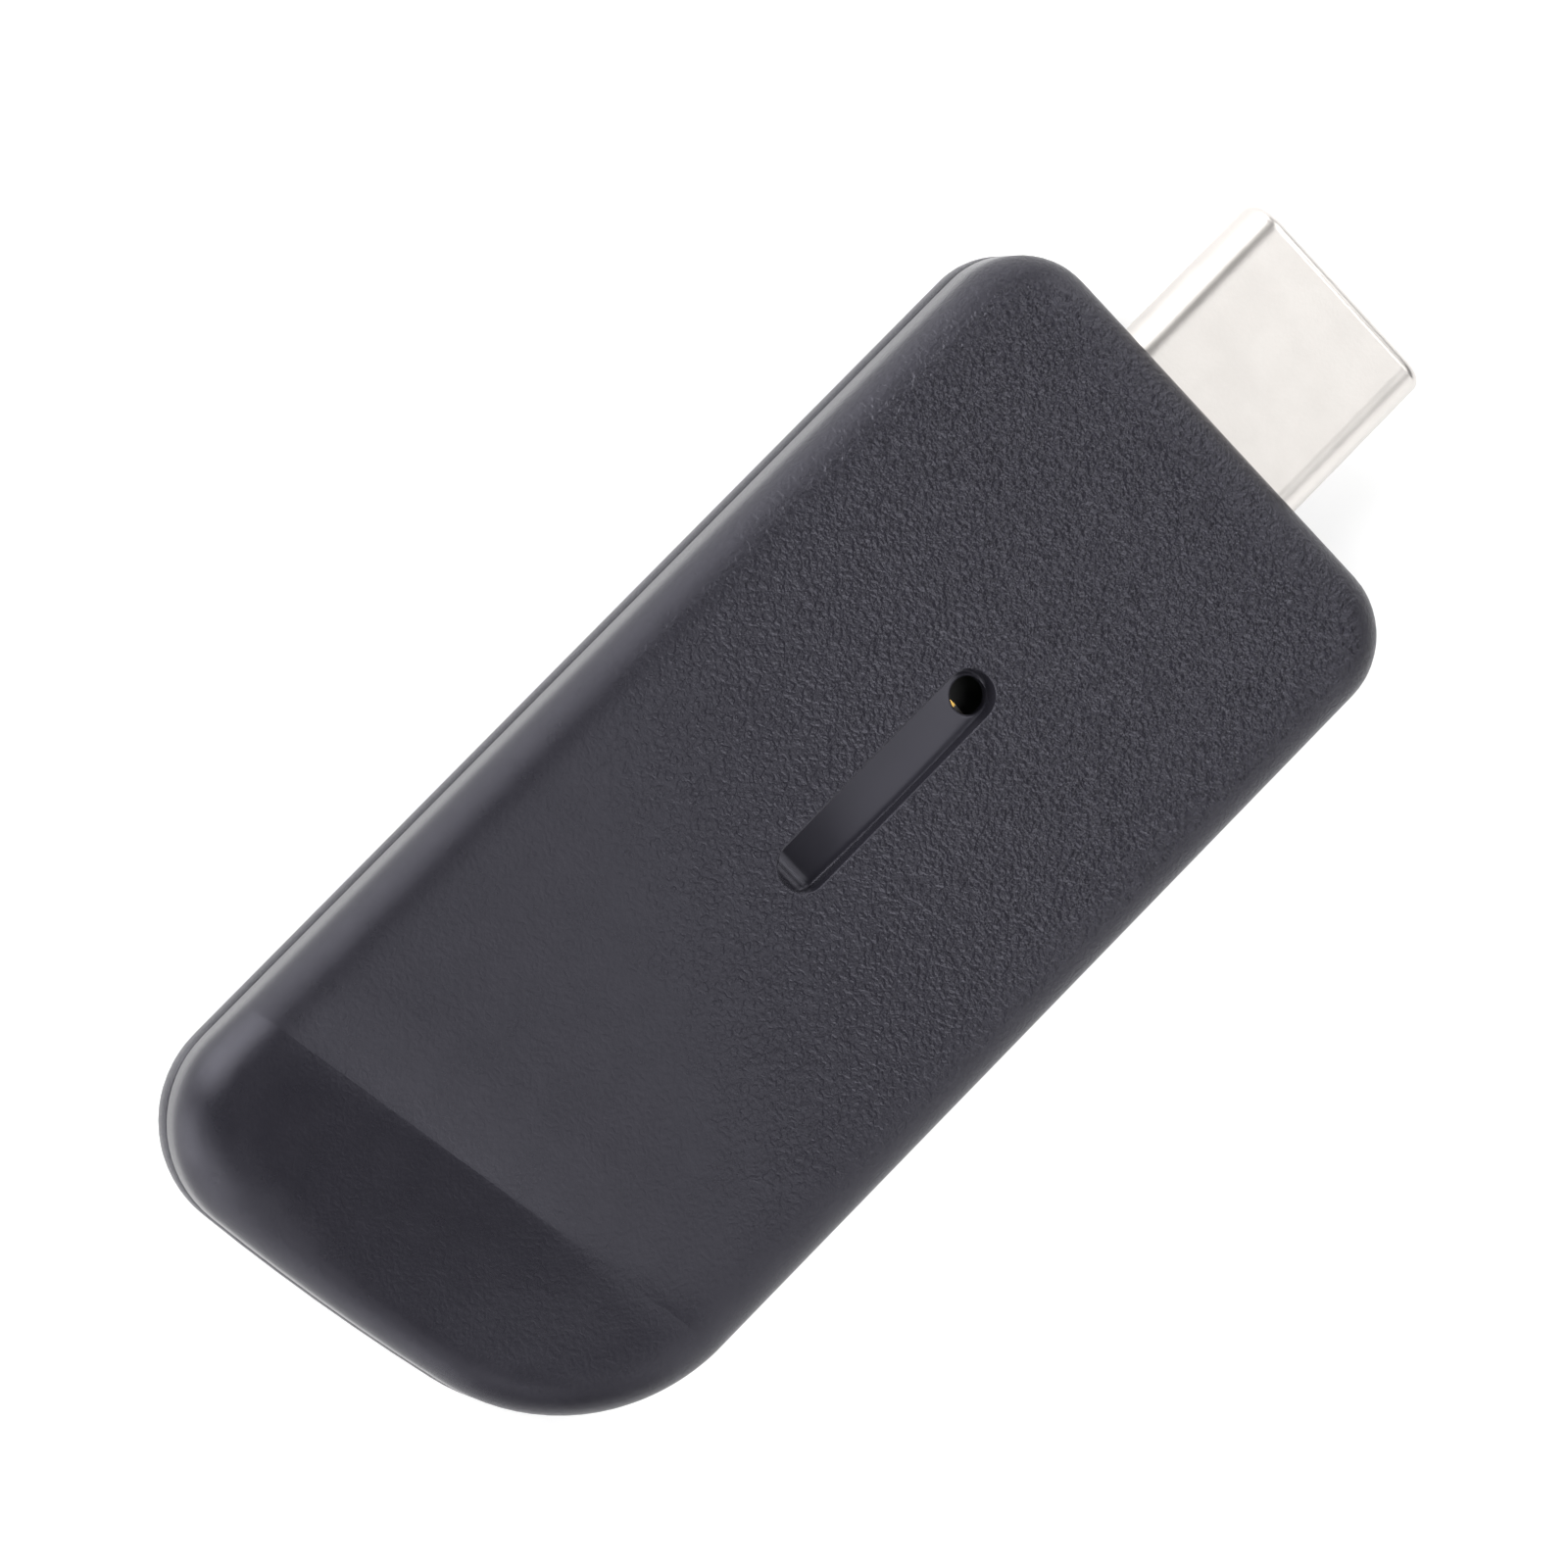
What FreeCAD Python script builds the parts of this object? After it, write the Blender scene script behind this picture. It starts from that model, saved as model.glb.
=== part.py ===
import FreeCAD, Part
import math
import os

from FreeCAD import Vector

# USB-C wireless receiver: a slim moulded housing with a standard plug.
# X runs out of the front face along the plug, Y to its left, Z up.
# The origin is on the plug's axis, at the housing's front face. Millimetres.

# Housing outline, seen from above
body_width = 19.0
body_length = 40.7
front_corner_radius = 2.8
long_side_corner_radius = 3.9
short_side_corner_radius = 7.2
tail_slant = 10.3
tail_radius = 82.0

# Housing heights, measured from the plug's axis
top_height = 2.65
bottom_depth = 2.75
parting_height = 0.15

# Housing edges and walls
top_edge_radius = 1.0
lower_edge_radius = 1.8
side_wall = 1.2
roof_thickness = 1.15
floor_thickness = 1.0
inner_edge_chamfer = 0.4
reveal_height = 0.12
reveal_depth = 0.22

# Tongue on the upper cover's rim, and its rebate in the lower cover
tongue_thickness = 0.5
tongue_length = 0.75
tongue_clearance = 0.05

# Thumb scoop at the tail: the flat top face bends over a slanted crease into a hollow slope
scoop_setback = 6.2
scoop_slant = 9.7
scoop_slope = 6.5
scoop_radius = 100.0
crease_radius = 1.5

# Pill groove in the top face, with the round hole at its front end
groove_front = 12.27
groove_span = 7.8
groove_sideways = -0.12
groove_width = 1.75
groove_depth = 0.8
groove_crown_radius = 30.0
groove_crown_setback = 3.3
groove_end_radius = 0.8
groove_floor = 0.75
groove_boss_wall = 0.6
hole_diameter = 1.28
hole_forward = 0.16
hole_sideways = -0.15

# Plug shell, to the standard plug's size
plug_width = 8.25
plug_thickness = 2.4
plug_corner_radius = 1.1
plug_reach = 6.45
plug_inside = 4.2
shell_wall = 0.25
tip_radius = 0.35
lip_length = 0.3
lip_width = 0.2
tab_length = 1.6
tab_width = 0.9
tab_thickness = 0.25
slot_clearance = 0.06

# Insulator inside the shell, with the mouth for the socket's tongue
insulator_clearance = 0.02
insulator_setback = 0.05
mouth_width = 6.9
mouth_height = 1.0
mouth_depth = 5.3
mouth_corner_radius = 0.3

# Contacts
contact_count = 12
contact_pitch = 0.5
contact_width = 0.25
contact_thickness = 0.15
contact_inner_height = 0.545
contact_tip_height = 0.345
contact_bend_length = 0.7
contact_nose_length = 0.35
contact_front_gap = 0.4
contact_tail_length = 1.9
channel_clearance = 0.03

# Latch frame between the contact rows
latch_sheet = 0.16
latch_arm_thickness = 0.2
latch_arm_offset = 3.58
latch_hook_depth = 0.28
latch_bar_length = 0.8
latch_front_gap = 0.6
latch_clearance = 0.02

# Ground springs between insulator and shell
spring_sheet = 0.1
spring_side_gap = 0.125
spring_length = 3.4
spring_base_length = 0.9
spring_finger_count = 4
spring_finger_gap = 0.3
spring_front_gap = 0.9
spring_clearance = 0.01

# Circuit board
board_thickness = 0.8
board_side_gap = 0.35
board_front_gap = 0.3
pad_thickness = 0.04

# Two posts with pins, and two ribs, that carry the board
post_diameter = 2.2
pin_diameter = 1.0
pin_hole_clearance = 0.1
pin_height = 0.6
rib_length = 2.6
rib_thickness = 0.9
front_post_setback = 8.8
front_post_side_gap = 1.9
rear_post_tail_gap = 9.7
rear_post_side_gap = 2.7

# Cradle rib under the plug shell
cradle_setback = 2.3
cradle_thickness = 0.8
cradle_width = 10.4
cradle_height = 1.3

# Shielded radio on the board's lower side
shield_tail_gap = 19.2
shield_size = 10.0
shield_height = 1.0
shield_sheet = 0.15
shield_foot = 0.5
shield_skirt = 0.5
shield_fit = 0.02
radio_size = 6.0
radio_height = 0.75

# Parts on the board's upper side
memory_length = 3.0
memory_width = 2.0
memory_height = 0.6
memory_offset = -2.9
regulator_length = 2.9
regulator_width = 1.6
regulator_headroom = 0.4
regulator_post_gap = 0.8
chip_row_gap = 0.6
lead_count = 3
lead_pitch = 0.95
lead_width = 0.35
lead_reach = 0.6
lead_thickness = 0.12
crystal_length = 2.5
crystal_width = 2.0
crystal_height = 0.6
crystal_gap = 2.6
crystal_offset = 2.4
antenna_length = 3.2
antenna_width = 1.6
antenna_headroom = 0.4
antenna_tail_gap = 5.3
led_length = 1.0
led_width = 0.6
led_height = 0.35
led_frame_length = 0.25
led_setback = 0.64
led_sideways = -0.38
chip_edge = 0.06
small_length = 1.0
small_width = 0.5
capacitor_height = 0.5
resistor_height = 0.35
small_end_length = 0.22
small_pitch = 1.3
small_count = 4
small_row_gap = 0.6
small_row_start = 2.0
inductor_length = 2.0
inductor_width = 1.6
inductor_headroom = 0.35
diode_length = 1.0
diode_width = 0.6
diode_height = 0.45
test_pad_size = 0.9
test_pad_pitch = 1.8
test_pad_count = 5

# Extra length that cutting tools run past a face, and the smallest lengths told apart
past = 1.0
same_length = 1e-4
same_slope = 1e-3

# Places worked out from the sizes above
board_top = board_thickness / 2
board_bottom = -board_thickness / 2
roof_inside = top_height - roof_thickness
upper_room = roof_inside - board_top
regulator_height = upper_room - regulator_headroom
antenna_height = upper_room - antenna_headroom
inductor_height = upper_room - inductor_headroom
spring_width = plug_width - 2 * plug_corner_radius - 2 * spring_side_gap
shield_setback = body_length - shield_tail_gap
floor_inside = -bottom_depth + floor_thickness
board_front = -plug_inside - board_front_gap
FACE_ACROSS_X = (Vector(0, 1, 0), Vector(0, 0, 1), Vector(1, 0, 0), "XYZ")
front_post_offset = body_width / 2 - side_wall - front_post_side_gap
rear_post_offset = body_width / 2 - side_wall - rear_post_side_gap


def turned(angle):
    """A level unit vector, the angle counted from X in radians."""
    return Vector(math.cos(angle), math.sin(angle), 0)


def joined_wire(arcs):
    """A closed wire of arcs and the straight lines between them; an arc is centre, radius, two angles."""
    edges = []
    for index in range(len(arcs)):
        centre, radius, start, finish = arcs[index]
        points = [centre + turned(angle) * radius for angle in (start, (start + finish) / 2, finish)]
        edges.append(Part.Arc(*points).toShape())
        following, next_radius, next_start = arcs[(index + 1) % len(arcs)][:3]
        next_point = following + turned(next_start) * next_radius
        if (next_point - points[-1]).Length > same_length:
            edges.append(Part.LineSegment(points[-1], next_point).toShape())
    return Part.Wire(edges)


def tail_corner(side, radius, tail_centre):
    """Centre of a rear corner, which touches the straight side and the large tail arc."""
    y = side * (body_width / 2 - radius)
    return Vector(tail_centre.x - math.sqrt((tail_radius - radius) ** 2 - (y - tail_centre.y) ** 2), y, 0)


def plan_wire(inset):
    """The housing outline, moved in by the inset on every side."""
    slant = math.radians(tail_slant)
    quarter = math.pi / 2
    front_offset = body_width / 2 - front_corner_radius
    tail_centre = Vector(-body_length, 0, 0) + turned(slant) * tail_radius
    long_centre = tail_corner(1, long_side_corner_radius, tail_centre)
    short_centre = tail_corner(-1, short_side_corner_radius, tail_centre)
    long_spoke = long_centre - tail_centre
    short_spoke = short_centre - tail_centre
    long_end = 2 * quarter - math.atan(long_spoke.y / -long_spoke.x)
    short_end = 2 * quarter - math.atan(short_spoke.y / -short_spoke.x)
    return joined_wire([
        (Vector(-front_corner_radius, -front_offset, 0), front_corner_radius - inset, -quarter, 0),
        (Vector(-front_corner_radius, front_offset, 0), front_corner_radius - inset, 0, quarter),
        (long_centre, long_side_corner_radius - inset, quarter, long_end),
        (tail_centre, tail_radius - inset, long_end, short_end),
        (short_centre, short_side_corner_radius - inset, short_end, 3 * quarter),
    ])


def plan_slab(inset, low, high):
    """The inset outline, raised from one height to another."""
    slab = Part.Face(plan_wire(inset)).extrude(Vector(0, 0, high - low))
    slab.translate(Vector(0, 0, low))
    return slab


def box(low, high):
    size = high - low
    return Part.makeBox(size.x, size.y, size.z, low)


def cylinder(x, y, diameter, low, high):
    return Part.makeCylinder(diameter / 2, high - low, Vector(x, y, low))


def group(solids):
    return Part.makeCompound(solids)


def mirrored(shape):
    """The same shape turned over to the other side of the plug's mid-plane."""
    return shape.mirror(Vector(0, 0, 0), Vector(0, 0, 1))


def plug_outline(inset, start, finish):
    """The plug's rounded section, inset on every side, drawn out along X."""
    radius = plug_corner_radius - inset
    half_width = plug_width / 2 - plug_corner_radius
    half_height = plug_thickness / 2 - plug_corner_radius
    quarter = math.pi / 2
    face = Part.Face(joined_wire([
        (Vector(half_width, -half_height, 0), radius, -quarter, 0),
        (Vector(half_width, half_height, 0), radius, 0, quarter),
        (Vector(-half_width, half_height, 0), radius, quarter, 2 * quarter),
        (Vector(-half_width, -half_height, 0), radius, 2 * quarter, 3 * quarter),
    ]))
    solid = face.extrude(Vector(0, 0, finish - start))
    solid.Placement = FreeCAD.Placement(Vector(start, 0, 0), FreeCAD.Rotation(*FACE_ACROSS_X))
    return solid


def edges_at_height(shape, height):
    """The edges that lie in one level plane."""
    found = []
    for edge in shape.Edges:
        bounds = edge.BoundBox
        if abs(bounds.ZMin - height) < same_length and abs(bounds.ZMax - height) < same_length:
            found.append(edge)
    return found


def scoop_profile():
    """Side outline of everything below the top face: flat, a small bend down, a long hollow slope."""
    slope = math.radians(scoop_slope)
    bend = crease_radius * math.tan(slope / 2)
    low = parting_height - past
    start = Vector(-bend, top_height, 0)
    bend_centre = start - Vector(0, crease_radius, 0)
    bend_middle = bend_centre + turned(math.pi / 2 - slope / 2) * crease_radius
    bend_end = bend_centre + turned(math.pi / 2 - slope) * crease_radius
    slope_centre = bend_end + turned(math.pi / 2 - slope) * scoop_radius
    slope_middle = slope_centre - turned(math.pi / 2 - slope / 2) * scoop_radius
    slope_end = slope_centre - turned(math.pi / 2) * scoop_radius
    corners = [slope_end, Vector(slope_end.x, low, 0), Vector(-body_length, low, 0)]
    corners += [Vector(-body_length, top_height, 0), start]
    edges = [
        Part.Arc(start, bend_middle, bend_end).toShape(),
        Part.Arc(bend_end, slope_middle, slope_end).toShape(),
    ]
    for index in range(len(corners) - 1):
        edges.append(Part.LineSegment(corners[index], corners[index + 1]).toShape())
    return Part.Face(Part.Wire(edges))


def below_top_face():
    """The profile drawn out along the crease; whatever lies outside it is cut away."""
    slant = math.radians(scoop_slant)
    along = turned(slant + math.pi / 2)
    backward = turned(slant + math.pi)
    body = scoop_profile().extrude(Vector(0, 0, 2 * body_width))
    turn = FreeCAD.Rotation(backward, Vector(0, 0, 1), along, "XYZ")
    start = Vector(scoop_setback - body_length, 0, 0) - along * body_width
    body.Placement = FreeCAD.Placement(start, turn)
    return body


def top_rim_edges(shape):
    """Edges between the upright side walls and the top faces."""
    found = []
    for edge in shape.Edges:
        middle = edge.valueAt((edge.FirstParameter + edge.LastParameter) / 2)
        upright = 0
        for face in shape.ancestorsOfType(edge, Part.Face):
            u, v = face.Surface.parameter(middle)
            if abs(face.normalAt(u, v).z) < same_slope:
                upright += 1
        if upright == 1 and middle.z > (parting_height + top_height) / 2:
            found.append(edge)
    return found


def groove_wire(grow):
    """Pill outline of the groove, grown on every side."""
    radius = groove_width / 2 + grow
    quarter = math.pi / 2
    return joined_wire([
        (Vector(-groove_front, groove_sideways, 0), radius, -quarter, quarter),
        (Vector(-groove_front - groove_span, groove_sideways, 0), radius, quarter, 3 * quarter),
    ])


def groove_slab(grow, low, high):
    slab = Part.Face(groove_wire(grow)).extrude(Vector(0, 0, high - low))
    slab.translate(Vector(0, 0, low))
    return slab


def groove_profile():
    """Side outline of the pocket: a slightly crowned floor that sweeps up at the tail end."""
    front = groove_width / 2 - groove_front + past
    back = -groove_front - groove_span - groove_width / 2
    high = top_height + past
    crown_x = -groove_front - groove_crown_setback
    crown_centre = Vector(crown_x, top_height - groove_depth - groove_crown_radius, 0)
    sweep_x = back + groove_end_radius
    reach = groove_crown_radius + groove_end_radius
    sweep_centre = Vector(sweep_x, crown_centre.y + math.sqrt(reach ** 2 - (sweep_x - crown_x) ** 2), 0)
    meeting = math.asin((crown_x - sweep_x) / reach)
    front_angle = math.asin((front - crown_x) / groove_crown_radius)
    up = math.pi / 2
    floor = []
    for angle in (up - front_angle, up, up + meeting):
        floor.append(crown_centre + turned(angle) * groove_crown_radius)
    sweep = []
    for angle in (meeting - up, (meeting - 3 * up) / 2, -2 * up):
        sweep.append(sweep_centre + turned(angle) * groove_end_radius)
    corners = [sweep[-1], Vector(back, high, 0), Vector(front, high, 0), floor[0]]
    edges = [Part.Arc(*floor).toShape(), Part.Arc(*sweep).toShape()]
    for index in range(len(corners) - 1):
        edges.append(Part.LineSegment(corners[index], corners[index + 1]).toShape())
    return Part.Face(Part.Wire(edges))


def groove_tool():
    """The pocket: the pill outline below the top face, down to the crowned floor."""
    low = top_height - groove_depth - groove_floor
    body = groove_profile().extrude(Vector(0, 0, 2 * groove_width))
    turn = FreeCAD.Rotation(Vector(1, 0, 0), Vector(0, 0, 1), Vector(0, -1, 0), "XYZ")
    body.Placement = FreeCAD.Placement(Vector(0, groove_sideways + groove_width, 0), turn)
    return groove_slab(0, low, top_height + past / 2).common(body)


def hole_place():
    """The round hole, a little ahead of the groove's front centre and to its right."""
    return (-groove_front + hole_forward, groove_sideways + hole_sideways)


def post_places():
    """Where the posts with a locating pin stand."""
    return [
        (-front_post_setback, front_post_offset),
        (rear_post_tail_gap - body_length, -rear_post_offset),
    ]


def rib_places():
    """Where the plain ribs stand, opposite the posts."""
    return [(x, -y) for x, y in post_places()]


def tongue_ring():
    """Rim tongue of the upper cover, on the inner side of its wall."""
    outside = plan_slab(side_wall - tongue_thickness, parting_height - tongue_length, parting_height)
    inside = plan_slab(side_wall, parting_height - tongue_length - past, parting_height + past)
    return outside.cut(inside)


def plug_slot():
    """The space for the shell through the front wall, a little larger than the shell."""
    return plug_outline(-slot_clearance, -plug_inside - slot_clearance, past)


def make_top_cover():
    cover = plan_slab(0, parting_height, top_height + past).common(below_top_face())
    cover = cover.makeFillet(top_edge_radius, top_rim_edges(cover))
    cavity = plan_slab(side_wall, parting_height - past, roof_inside)
    boss_low = top_height - groove_depth - groove_floor
    cavity = cavity.cut(groove_slab(groove_boss_wall, boss_low, roof_inside + past))
    for x, y in post_places():
        cavity = cavity.cut(cylinder(x, y, post_diameter, board_top, roof_inside + past))
    for x, y in rib_places():
        reach = roof_inside + past - board_top
        cavity = cavity.cut(plain_block(x, y, rib_length, rib_thickness, reach, board_top))
    cover = cover.cut(cavity)
    cover = cover.fuse(tongue_ring())
    cover = cover.cut(groove_tool())
    hole_x, hole_y = hole_place()
    cover = cover.cut(cylinder(hole_x, hole_y, hole_diameter, board_top, top_height + past))
    for x, y in post_places():
        socket_low = board_top - past
        socket_high = board_top + pin_height + pin_hole_clearance
        cover = cover.cut(cylinder(x, y, pin_diameter + pin_hole_clearance, socket_low, socket_high))
    return cover.cut(plug_slot()).removeSplitter()


def make_bottom_cover():
    cover = plan_slab(0, -bottom_depth, parting_height)
    cover = cover.makeFillet(lower_edge_radius, edges_at_height(cover, -bottom_depth))
    cavity = plan_slab(side_wall, floor_inside, parting_height + past)
    cavity = cavity.makeChamfer(inner_edge_chamfer, edges_at_height(cavity, floor_inside))
    rebate_low = parting_height - tongue_length - tongue_clearance
    rebate = plan_slab(side_wall - tongue_thickness - tongue_clearance, rebate_low, parting_height + past)
    reveal_low = parting_height - reveal_height
    reveal = plan_slab(-past, reveal_low, parting_height + past)
    reveal = reveal.cut(plan_slab(reveal_depth, reveal_low - past, parting_height + 2 * past))
    cover = cover.cut(cavity)
    cover = cover.cut(rebate)
    cover = cover.cut(reveal)
    foot = -bottom_depth + floor_thickness / 2
    for x, y in post_places():
        cover = cover.fuse(cylinder(x, y, post_diameter, foot, board_bottom))
        cover = cover.fuse(cylinder(x, y, pin_diameter, foot, board_top + pin_height))
    for x, y in rib_places():
        cover = cover.fuse(plain_block(x, y, rib_length, rib_thickness, board_bottom - foot, foot))
    rib_low = Vector(-cradle_setback - cradle_thickness, -cradle_width / 2, foot)
    rib_high = Vector(-cradle_setback, cradle_width / 2, floor_inside + cradle_height)
    cover = cover.fuse(box(rib_low, rib_high))
    shell_space = plug_outline(-slot_clearance, -plug_inside, past)
    return cover.cut(shell_space).removeSplitter()


def make_plug_shell():
    """Drawn shell with a rounded, turned-in lip and two solder tabs behind."""
    tip = plug_reach
    outside = plug_outline(0, -plug_inside, tip)
    tip_edges = [edge for edge in outside.Edges if abs(edge.BoundBox.XMin - tip) < same_length]
    outside = outside.makeFillet(tip_radius, tip_edges)
    inside = plug_outline(shell_wall, -plug_inside - past, tip - lip_length)
    mouth = plug_outline(shell_wall + lip_width, tip - lip_length - past, tip + past)
    shell = outside.cut(inside).cut(mouth)
    for side in (-1, 1):
        outer = side * (plug_width / 2)
        inner = outer - side * tab_width
        low = Vector(-plug_inside - tab_length, min(outer, inner), board_top)
        high = Vector(-plug_inside + past, max(outer, inner), board_top + tab_thickness)
        tab = box(low, high).cut(plug_outline(shell_wall / 2, -plug_inside, tip))
        shell = shell.fuse(tab)
    return shell.removeSplitter()


def contact_places():
    """Centre line of each contact, from right to left."""
    first = -contact_pitch * (contact_count - 1) / 2
    return [first + contact_pitch * index for index in range(contact_count)]


def insulator_front():
    return plug_reach - lip_length - insulator_setback


def make_contact_housing():
    inset = shell_wall + insulator_clearance
    front = insulator_front()
    housing = plug_outline(inset, -plug_inside, front)
    mouth = box(
        Vector(front - mouth_depth, -mouth_width / 2, -mouth_height / 2),
        Vector(front + past, mouth_width / 2, mouth_height / 2),
    )
    upright = [edge for edge in mouth.Edges if edge.BoundBox.XLength > mouth_depth]
    housing = housing.cut(mouth.makeFillet(mouth_corner_radius, upright))
    channel_low = contact_inner_height - channel_clearance
    channel_high = contact_inner_height + contact_thickness
    reach = contact_width / 2 + channel_clearance
    for y in contact_places():
        channel = box(
            Vector(-plug_inside - past, y - reach, min(channel_low, mouth_height / 2)),
            Vector(front - contact_front_gap + 2 * channel_clearance, y + reach, channel_high),
        )
        housing = housing.cut(channel)
        housing = housing.cut(mirrored(channel))
    half_slot = latch_sheet / 2 + latch_clearance
    arm_outside = latch_arm_offset + latch_arm_thickness / 2 + latch_clearance
    bar_back = -plug_inside
    bar = box(
        Vector(bar_back - past, -arm_outside, -half_slot),
        Vector(bar_back + latch_bar_length + latch_clearance, arm_outside, half_slot),
    )
    housing = housing.cut(bar)
    for side in (-1, 1):
        inner = side * (latch_arm_offset - latch_arm_thickness / 2 - latch_hook_depth)
        outer = side * arm_outside
        arm = box(
            Vector(bar_back - past, min(inner, outer), -half_slot),
            Vector(front - latch_front_gap + latch_clearance, max(inner, outer), half_slot),
        )
        housing = housing.cut(arm)
    housing = housing.cut(spring_space())
    return housing.cut(mirrored(spring_space())).removeSplitter()


def ribbon(path, thickness):
    """A flat strip's side outline: the path, thickened to its left, in the XY plane."""
    shifted = []
    count = len(path)
    for index in range(count):
        here = path[index]
        arriving = here - path[max(index - 1, 0)]
        leaving = path[min(index + 1, count - 1)] - here
        if arriving.Length < same_length:
            arriving = leaving
        if leaving.Length < same_length:
            leaving = arriving
        arriving = Vector(arriving).normalize()
        leaving = Vector(leaving).normalize()
        side = Vector(-arriving.y - leaving.y, arriving.x + leaving.x, 0)
        shifted.append(here + side * (thickness / (1 + arriving.dot(leaving))))
    loop = path + shifted[::-1] + [path[0]]
    return Part.Face(Part.makePolygon(loop))


def make_upper_contacts():
    """Twelve spring contacts: solder tail on the board, straight run, bent tip in the mouth."""
    back = board_front - contact_tail_length
    front = insulator_front() - contact_front_gap
    bend = front - contact_nose_length - contact_bend_length
    step = contact_inner_height - board_top
    path = [
        Vector(back, board_top, 0),
        Vector(board_front - contact_thickness, board_top, 0),
        Vector(board_front - contact_thickness + step, contact_inner_height, 0),
        Vector(bend, contact_inner_height, 0),
        Vector(bend + contact_bend_length, contact_tip_height, 0),
        Vector(front, contact_inner_height - contact_thickness / 2, 0),
    ]
    outline = ribbon(path, contact_thickness)
    contacts = []
    for y in contact_places():
        contact = outline.extrude(Vector(0, 0, contact_width))
        contact.rotate(Vector(0, 0, 0), Vector(1, 0, 0), 90)
        contact.translate(Vector(0, y + contact_width / 2, 0))
        contacts.append(contact)
    return group(contacts)


def make_lower_contacts():
    return mirrored(make_upper_contacts())


def make_latch_frame():
    """A stamped frame: a bar behind and a hooked arm on each side of the mouth."""
    back = -plug_inside
    front = insulator_front() - latch_front_gap
    half = latch_sheet / 2
    bar_half = latch_arm_offset + latch_arm_thickness / 2
    frame = box(Vector(back, -bar_half, -half), Vector(back + latch_bar_length, bar_half, half))
    hook = front - latch_hook_depth * 2
    for side in (-1, 1):
        inner = latch_arm_offset - latch_arm_thickness / 2
        path = [
            Vector(back + latch_bar_length / 2, inner, 0),
            Vector(hook - latch_hook_depth * 2, inner, 0),
            Vector(hook, inner - latch_hook_depth, 0),
            Vector(front, inner, 0),
        ]
        arm = ribbon(path, latch_arm_thickness).extrude(Vector(0, 0, latch_sheet))
        arm.translate(Vector(0, 0, -half))
        if side < 0:
            arm = arm.mirror(Vector(0, 0, 0), Vector(0, 1, 0))
        frame = frame.fuse(arm)
    return frame.removeSplitter()


def spring_height():
    """Top of the insulator, where the spring plate lies flush."""
    return plug_thickness / 2 - shell_wall - insulator_clearance


def spring_space():
    """Shallow seat for one ground spring."""
    front = insulator_front() - spring_front_gap
    low = spring_height() - spring_sheet - spring_clearance
    half = spring_width / 2 + spring_clearance
    return box(
        Vector(front - spring_length - spring_clearance, -half, low),
        Vector(front + spring_clearance, half, low + past),
    )


def make_upper_ground_spring():
    """A thin plate with a row of fingers that point to the mouth."""
    front = insulator_front() - spring_front_gap
    high = spring_height() - spring_clearance
    low = high - spring_sheet
    plate = box(
        Vector(front - spring_length, -spring_width / 2, low),
        Vector(front, spring_width / 2, high),
    )
    pitch = (spring_width + spring_finger_gap) / spring_finger_count
    for index in range(spring_finger_count - 1):
        gap_start = -spring_width / 2 + pitch * (index + 1) - spring_finger_gap
        gap = box(
            Vector(front - spring_length + spring_base_length, gap_start, low - past),
            Vector(front + past, gap_start + spring_finger_gap, high + past),
        )
        plate = plate.cut(gap)
    return plate


def make_lower_ground_spring():
    return mirrored(make_upper_ground_spring())


def make_circuit_board():
    """Board that follows the housing's inside, with holes for the two pins."""
    board = plan_slab(side_wall + board_side_gap, board_bottom, board_top)
    ahead = box(
        Vector(board_front, -body_width, board_bottom - past),
        Vector(past, body_width, board_top + past),
    )
    board = board.cut(ahead)
    for x, y in post_places():
        hole = cylinder(x, y, pin_diameter + pin_hole_clearance, board_bottom - past, board_top + past)
        board = board.cut(hole)
    return board


def chip(x, y, length, width, height, low):
    """A moulded package with softened upper edges, centred at x, y."""
    block = box(
        Vector(x - length / 2, y - width / 2, low),
        Vector(x + length / 2, y + width / 2, low + height),
    )
    return block.makeChamfer(chip_edge, edges_at_height(block, low + height))


def plain_block(x, y, length, width, height, low):
    return box(
        Vector(x - length / 2, y - width / 2, low),
        Vector(x + length / 2, y + width / 2, low + height),
    )


def make_radio_chip():
    return mirrored(chip(-shield_setback, 0, radio_size, radio_size, radio_height, board_top))


def shield_block(size, low, high):
    """A square block centred on the shield."""
    return plain_block(-shield_setback, 0, size, size, high - low, low)


def make_shield_frame():
    """Folded wall round the radio, with a narrow turned-in rim."""
    high = board_top + shield_height
    inner_size = shield_size - 2 * shield_sheet
    walls = shield_block(shield_size, board_top, high)
    walls = walls.cut(shield_block(inner_size, board_top - past, high - shield_sheet))
    window = shield_block(inner_size - 2 * shield_foot, board_top, high + past)
    return mirrored(walls.cut(window).removeSplitter())


def make_shield_lid():
    """Pressed lid that snaps over the frame."""
    low = board_top + shield_height
    room = shield_size + 2 * shield_fit
    lid = shield_block(room + 2 * shield_sheet, low - shield_skirt, low + shield_sheet)
    lid = lid.makeFillet(shield_sheet / 2, edges_at_height(lid, low + shield_sheet))
    return mirrored(lid.cut(shield_block(room, low - shield_skirt - past, low)))


def memory_place():
    return (-front_post_setback - chip_row_gap, memory_offset)


def regulator_place():
    reach = post_diameter / 2 + regulator_post_gap + lead_reach + regulator_width / 2
    return (-front_post_setback - chip_row_gap, front_post_offset - reach)


def make_memory_chip():
    x, y = memory_place()
    return chip(x, y, memory_length, memory_width, memory_height, board_top)


def make_voltage_regulator():
    x, y = regulator_place()
    return chip(x, y, regulator_length, regulator_width, regulator_height, board_top)


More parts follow.
